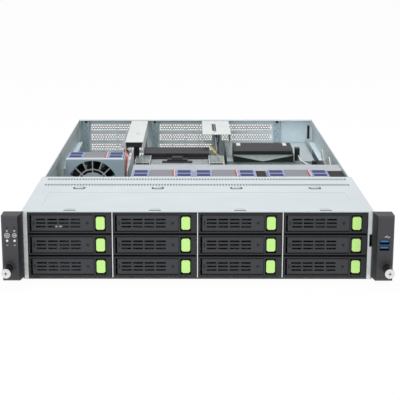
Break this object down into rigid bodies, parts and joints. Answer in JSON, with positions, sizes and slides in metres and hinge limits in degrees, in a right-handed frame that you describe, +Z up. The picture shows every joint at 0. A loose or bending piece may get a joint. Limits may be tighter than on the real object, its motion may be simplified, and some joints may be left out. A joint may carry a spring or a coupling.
{
  "type": "rack server",
  "caption": "Rack server with hot-swap drive carriers at the front, lift-out fans behind a short cover, an open rear bay with boards and risers, and power supplies at the back.",
  "frame": {"origin": "underside of the chassis, under the middle of its width and depth", "axes": "+Z up, -Y towards the drive carriers at the front, +X to the right seen from the front"},
  "size_m": [0.4826, 0.8088, 0.088],
  "materials": {
    "zinc_steel": "hot-dip zinc, dull",
    "pale_cover": "satin, pale grey",
    "ear_plastic": "fine grain, dark grey",
    "bezel_plastic": "fine grain, dark grey",
    "green_plastic": "bright green, satin",
    "screw_steel": "dark, turned",
    "button_plastic": "satin, grey",
    "fan_plastic": "blue-grey, satin",
    "rotor_plastic": "black, satin",
    "circuit_board": "solder mask",
    "fin_aluminium": "extruded",
    "duct_plastic": "clear and black mouldings",
    "supply_steel": "plain, dull"
  },
  "bodies": {
    "chassis": {"chassis_pan": "zinc_steel", "front_cover": "pale_cover", "drive_cage": "zinc_steel", "ears": "ear_plastic", "fan_wall": "zinc_steel", "rear_panel": "zinc_steel", "supply_cage": "zinc_steel", "riser_brackets": "zinc_steel", "circuit_boards": "circuit_board", "heat_sink_and_memory": "fin_aluminium", "air_duct": "duct_plastic"},
    "carrier_bottom_1": {"carrier_bottom_1": "bezel_plastic"},
    "lever_bottom_1": {"lever_bottom_1": "bezel_plastic"},
    "release_bottom_1": {"release_bottom_1": "green_plastic"},
    "carrier_bottom_2": {"carrier_bottom_2": "bezel_plastic"},
    "lever_bottom_2": {"lever_bottom_2": "bezel_plastic"},
    "release_bottom_2": {"release_bottom_2": "green_plastic"},
    "carrier_bottom_3": {"carrier_bottom_3": "bezel_plastic"},
    "lever_bottom_3": {"lever_bottom_3": "bezel_plastic"},
    "release_bottom_3": {"release_bottom_3": "green_plastic"},
    "carrier_bottom_4": {"carrier_bottom_4": "bezel_plastic"},
    "lever_bottom_4": {"lever_bottom_4": "bezel_plastic"},
    "release_bottom_4": {"release_bottom_4": "green_plastic"},
    "carrier_middle_1": {"carrier_middle_1": "bezel_plastic"},
    "lever_middle_1": {"lever_middle_1": "bezel_plastic"},
    "release_middle_1": {"release_middle_1": "green_plastic"},
    "carrier_middle_2": {"carrier_middle_2": "bezel_plastic"},
    "lever_middle_2": {"lever_middle_2": "bezel_plastic"},
    "release_middle_2": {"release_middle_2": "green_plastic"},
    "carrier_middle_3": {"carrier_middle_3": "bezel_plastic"},
    "lever_middle_3": {"lever_middle_3": "bezel_plastic"},
    "release_middle_3": {"release_middle_3": "green_plastic"},
    "carrier_middle_4": {"carrier_middle_4": "bezel_plastic"},
    "lever_middle_4": {"lever_middle_4": "bezel_plastic"},
    "release_middle_4": {"release_middle_4": "green_plastic"},
    "carrier_top_1": {"carrier_top_1": "bezel_plastic"},
    "lever_top_1": {"lever_top_1": "bezel_plastic"},
    "release_top_1": {"release_top_1": "green_plastic"},
    "carrier_top_2": {"carrier_top_2": "bezel_plastic"},
    "lever_top_2": {"lever_top_2": "bezel_plastic"},
    "release_top_2": {"release_top_2": "green_plastic"},
    "carrier_top_3": {"carrier_top_3": "bezel_plastic"},
    "lever_top_3": {"lever_top_3": "bezel_plastic"},
    "release_top_3": {"release_top_3": "green_plastic"},
    "carrier_top_4": {"carrier_top_4": "bezel_plastic"},
    "lever_top_4": {"lever_top_4": "bezel_plastic"},
    "release_top_4": {"release_top_4": "green_plastic"},
    "fan_module_1": {"fan_module_1": "fan_plastic"},
    "fan_rotor_1": {"fan_rotor_1": "rotor_plastic"},
    "fan_module_2": {"fan_module_2": "fan_plastic"},
    "fan_rotor_2": {"fan_rotor_2": "rotor_plastic"},
    "fan_module_3": {"fan_module_3": "fan_plastic"},
    "fan_rotor_3": {"fan_rotor_3": "rotor_plastic"},
    "fan_module_4": {"fan_module_4": "fan_plastic"},
    "fan_rotor_4": {"fan_rotor_4": "rotor_plastic"},
    "thumbscrew_left": {"thumbscrew_left": "screw_steel"},
    "thumbscrew_right": {"thumbscrew_right": "screw_steel"},
    "power_button": {"power_button": "button_plastic"},
    "power_supply_left": {"power_supply_left": "supply_steel"},
    "power_supply_right": {"power_supply_right": "supply_steel"}
  },
  "joints": [
    {"name": "carrier_bottom_1_slide", "type": "slide", "parent": "chassis", "child": "carrier_bottom_1", "axis": [0, -1, 0], "range_m": [0, 0.17]},
    {"name": "lever_bottom_1_hinge", "type": "hinge", "parent": "carrier_bottom_1", "child": "lever_bottom_1", "pos_m": [-0.20505, -0.3607, 0.01605], "axis": [0, 0, -1], "range_deg": [0, 60]},
    {"name": "release_bottom_1_press", "type": "slide", "parent": "carrier_bottom_1", "child": "release_bottom_1", "axis": [0, 1, 0], "range_m": [0, 0.0025], "stiffness_N_per_m": 400, "springref_m": -0.001},
    {"name": "carrier_bottom_2_slide", "type": "slide", "parent": "chassis", "child": "carrier_bottom_2", "axis": [0, -1, 0], "range_m": [0, 0.17]},
    {"name": "lever_bottom_2_hinge", "type": "hinge", "parent": "carrier_bottom_2", "child": "lever_bottom_2", "pos_m": [-0.09845, -0.3607, 0.01605], "axis": [0, 0, -1], "range_deg": [0, 60]},
    {"name": "release_bottom_2_press", "type": "slide", "parent": "carrier_bottom_2", "child": "release_bottom_2", "axis": [0, 1, 0], "range_m": [0, 0.0025], "stiffness_N_per_m": 400, "springref_m": -0.001},
    {"name": "carrier_bottom_3_slide", "type": "slide", "parent": "chassis", "child": "carrier_bottom_3", "axis": [0, -1, 0], "range_m": [0, 0.17]},
    {"name": "lever_bottom_3_hinge", "type": "hinge", "parent": "carrier_bottom_3", "child": "lever_bottom_3", "pos_m": [0.00815, -0.3607, 0.01605], "axis": [0, 0, -1], "range_deg": [0, 60]},
    {"name": "release_bottom_3_press", "type": "slide", "parent": "carrier_bottom_3", "child": "release_bottom_3", "axis": [0, 1, 0], "range_m": [0, 0.0025], "stiffness_N_per_m": 400, "springref_m": -0.001},
    {"name": "carrier_bottom_4_slide", "type": "slide", "parent": "chassis", "child": "carrier_bottom_4", "axis": [0, -1, 0], "range_m": [0, 0.17]},
    {"name": "lever_bottom_4_hinge", "type": "hinge", "parent": "carrier_bottom_4", "child": "lever_bottom_4", "pos_m": [0.11475, -0.3607, 0.01605], "axis": [0, 0, -1], "range_deg": [0, 60]},
    {"name": "release_bottom_4_press", "type": "slide", "parent": "carrier_bottom_4", "child": "release_bottom_4", "axis": [0, 1, 0], "range_m": [0, 0.0025], "stiffness_N_per_m": 400, "springref_m": -0.001},
    {"name": "carrier_middle_1_slide", "type": "slide", "parent": "chassis", "child": "carrier_middle_1", "axis": [0, -1, 0], "range_m": [0, 0.17]},
    {"name": "lever_middle_1_hinge", "type": "hinge", "parent": "carrier_middle_1", "child": "lever_middle_1", "pos_m": [-0.20505, -0.3607, 0.04415], "axis": [0, 0, -1], "range_deg": [0, 60]},
    {"name": "release_middle_1_press", "type": "slide", "parent": "carrier_middle_1", "child": "release_middle_1", "axis": [0, 1, 0], "range_m": [0, 0.0025], "stiffness_N_per_m": 400, "springref_m": -0.001},
    {"name": "carrier_middle_2_slide", "type": "slide", "parent": "chassis", "child": "carrier_middle_2", "axis": [0, -1, 0], "range_m": [0, 0.17]},
    {"name": "lever_middle_2_hinge", "type": "hinge", "parent": "carrier_middle_2", "child": "lever_middle_2", "pos_m": [-0.09845, -0.3607, 0.04415], "axis": [0, 0, -1], "range_deg": [0, 60]},
    {"name": "release_middle_2_press", "type": "slide", "parent": "carrier_middle_2", "child": "release_middle_2", "axis": [0, 1, 0], "range_m": [0, 0.0025], "stiffness_N_per_m": 400, "springref_m": -0.001},
    {"name": "carrier_middle_3_slide", "type": "slide", "parent": "chassis", "child": "carrier_middle_3", "axis": [0, -1, 0], "range_m": [0, 0.17]},
    {"name": "lever_middle_3_hinge", "type": "hinge", "parent": "carrier_middle_3", "child": "lever_middle_3", "pos_m": [0.00815, -0.3607, 0.04415], "axis": [0, 0, -1], "range_deg": [0, 60]},
    {"name": "release_middle_3_press", "type": "slide", "parent": "carrier_middle_3", "child": "release_middle_3", "axis": [0, 1, 0], "range_m": [0, 0.0025], "stiffness_N_per_m": 400, "springref_m": -0.001},
    {"name": "carrier_middle_4_slide", "type": "slide", "parent": "chassis", "child": "carrier_middle_4", "axis": [0, -1, 0], "range_m": [0, 0.17]},
    {"name": "lever_middle_4_hinge", "type": "hinge", "parent": "carrier_middle_4", "child": "lever_middle_4", "pos_m": [0.11475, -0.3607, 0.04415], "axis": [0, 0, -1], "range_deg": [0, 60]},
    {"name": "release_middle_4_press", "type": "slide", "parent": "carrier_middle_4", "child": "release_middle_4", "axis": [0, 1, 0], "range_m": [0, 0.0025], "stiffness_N_per_m": 400, "springref_m": -0.001},
    {"name": "carrier_top_1_slide", "type": "slide", "parent": "chassis", "child": "carrier_top_1", "axis": [0, -1, 0], "range_m": [0, 0.17]},
    {"name": "lever_top_1_hinge", "type": "hinge", "parent": "carrier_top_1", "child": "lever_top_1", "pos_m": [-0.20505, -0.3607, 0.07225], "axis": [0, 0, -1], "range_deg": [0, 60]},
    {"name": "release_top_1_press", "type": "slide", "parent": "carrier_top_1", "child": "release_top_1", "axis": [0, 1, 0], "range_m": [0, 0.0025], "stiffness_N_per_m": 400, "springref_m": -0.001},
    {"name": "carrier_top_2_slide", "type": "slide", "parent": "chassis", "child": "carrier_top_2", "axis": [0, -1, 0], "range_m": [0, 0.17]},
    {"name": "lever_top_2_hinge", "type": "hinge", "parent": "carrier_top_2", "child": "lever_top_2", "pos_m": [-0.09845, -0.3607, 0.07225], "axis": [0, 0, -1], "range_deg": [0, 60]},
    {"name": "release_top_2_press", "type": "slide", "parent": "carrier_top_2", "child": "release_top_2", "axis": [0, 1, 0], "range_m": [0, 0.0025], "stiffness_N_per_m": 400, "springref_m": -0.001},
    {"name": "carrier_top_3_slide", "type": "slide", "parent": "chassis", "child": "carrier_top_3", "axis": [0, -1, 0], "range_m": [0, 0.17]},
    {"name": "lever_top_3_hinge", "type": "hinge", "parent": "carrier_top_3", "child": "lever_top_3", "pos_m": [0.00815, -0.3607, 0.07225], "axis": [0, 0, -1], "range_deg": [0, 60]},
    {"name": "release_top_3_press", "type": "slide", "parent": "carrier_top_3", "child": "release_top_3", "axis": [0, 1, 0], "range_m": [0, 0.0025], "stiffness_N_per_m": 400, "springref_m": -0.001},
    {"name": "carrier_top_4_slide", "type": "slide", "parent": "chassis", "child": "carrier_top_4", "axis": [0, -1, 0], "range_m": [0, 0.17]},
    {"name": "lever_top_4_hinge", "type": "hinge", "parent": "carrier_top_4", "child": "lever_top_4", "pos_m": [0.11475, -0.3607, 0.07225], "axis": [0, 0, -1], "range_deg": [0, 60]},
    {"name": "release_top_4_press", "type": "slide", "parent": "carrier_top_4", "child": "release_top_4", "axis": [0, 1, 0], "range_m": [0, 0.0025], "stiffness_N_per_m": 400, "springref_m": -0.001},
    {"name": "fan_module_1_lift", "type": "slide", "parent": "chassis", "child": "fan_module_1", "axis": [0, 0, 1], "range_m": [0, 0.087]},
    {"name": "fan_rotor_1_spin", "type": "hinge", "parent": "fan_module_1", "child": "fan_rotor_1", "pos_m": [-0.16115, 0.0149, 0.0427], "axis": [0, 1, 0], "continuous": true},
    {"name": "fan_module_2_lift", "type": "slide", "parent": "chassis", "child": "fan_module_2", "axis": [0, 0, 1], "range_m": [0, 0.087]},
    {"name": "fan_rotor_2_spin", "type": "hinge", "parent": "fan_module_2", "child": "fan_rotor_2", "pos_m": [-0.0533, -0.1251, 0.0427], "axis": [0, 1, 0], "continuous": true},
    {"name": "fan_module_3_lift", "type": "slide", "parent": "chassis", "child": "fan_module_3", "axis": [0, 0, 1], "range_m": [0, 0.087]},
    {"name": "fan_rotor_3_spin", "type": "hinge", "parent": "fan_module_3", "child": "fan_rotor_3", "pos_m": [0.0379, -0.1251, 0.0427], "axis": [0, 1, 0], "continuous": true},
    {"name": "fan_module_4_lift", "type": "slide", "parent": "chassis", "child": "fan_module_4", "axis": [0, 0, 1], "range_m": [0, 0.087]},
    {"name": "fan_rotor_4_spin", "type": "hinge", "parent": "fan_module_4", "child": "fan_rotor_4", "pos_m": [0.1437, -0.1251, 0.0427], "axis": [0, 1, 0], "continuous": true},
    {"name": "thumbscrew_left_turn", "type": "hinge", "parent": "chassis", "child": "thumbscrew_left", "pos_m": [-0.23235, -0.3851, 0.0228], "axis": [0, 1, 0], "continuous": true},
    {"name": "thumbscrew_right_turn", "type": "hinge", "parent": "chassis", "child": "thumbscrew_right", "pos_m": [0.23235, -0.3851, 0.0228], "axis": [0, 1, 0], "continuous": true},
    {"name": "power_button_press", "type": "slide", "parent": "chassis", "child": "power_button", "axis": [0, 1, 0], "range_m": [0, 0.001], "stiffness_N_per_m": 300, "springref_m": -0.001},
    {"name": "power_supply_left_slide", "type": "slide", "parent": "chassis", "child": "power_supply_left", "axis": [0, 1, 0], "range_m": [0, 0.18]},
    {"name": "power_supply_right_slide", "type": "slide", "parent": "chassis", "child": "power_supply_right", "axis": [0, 1, 0], "range_m": [0, 0.18]}
  ]
}
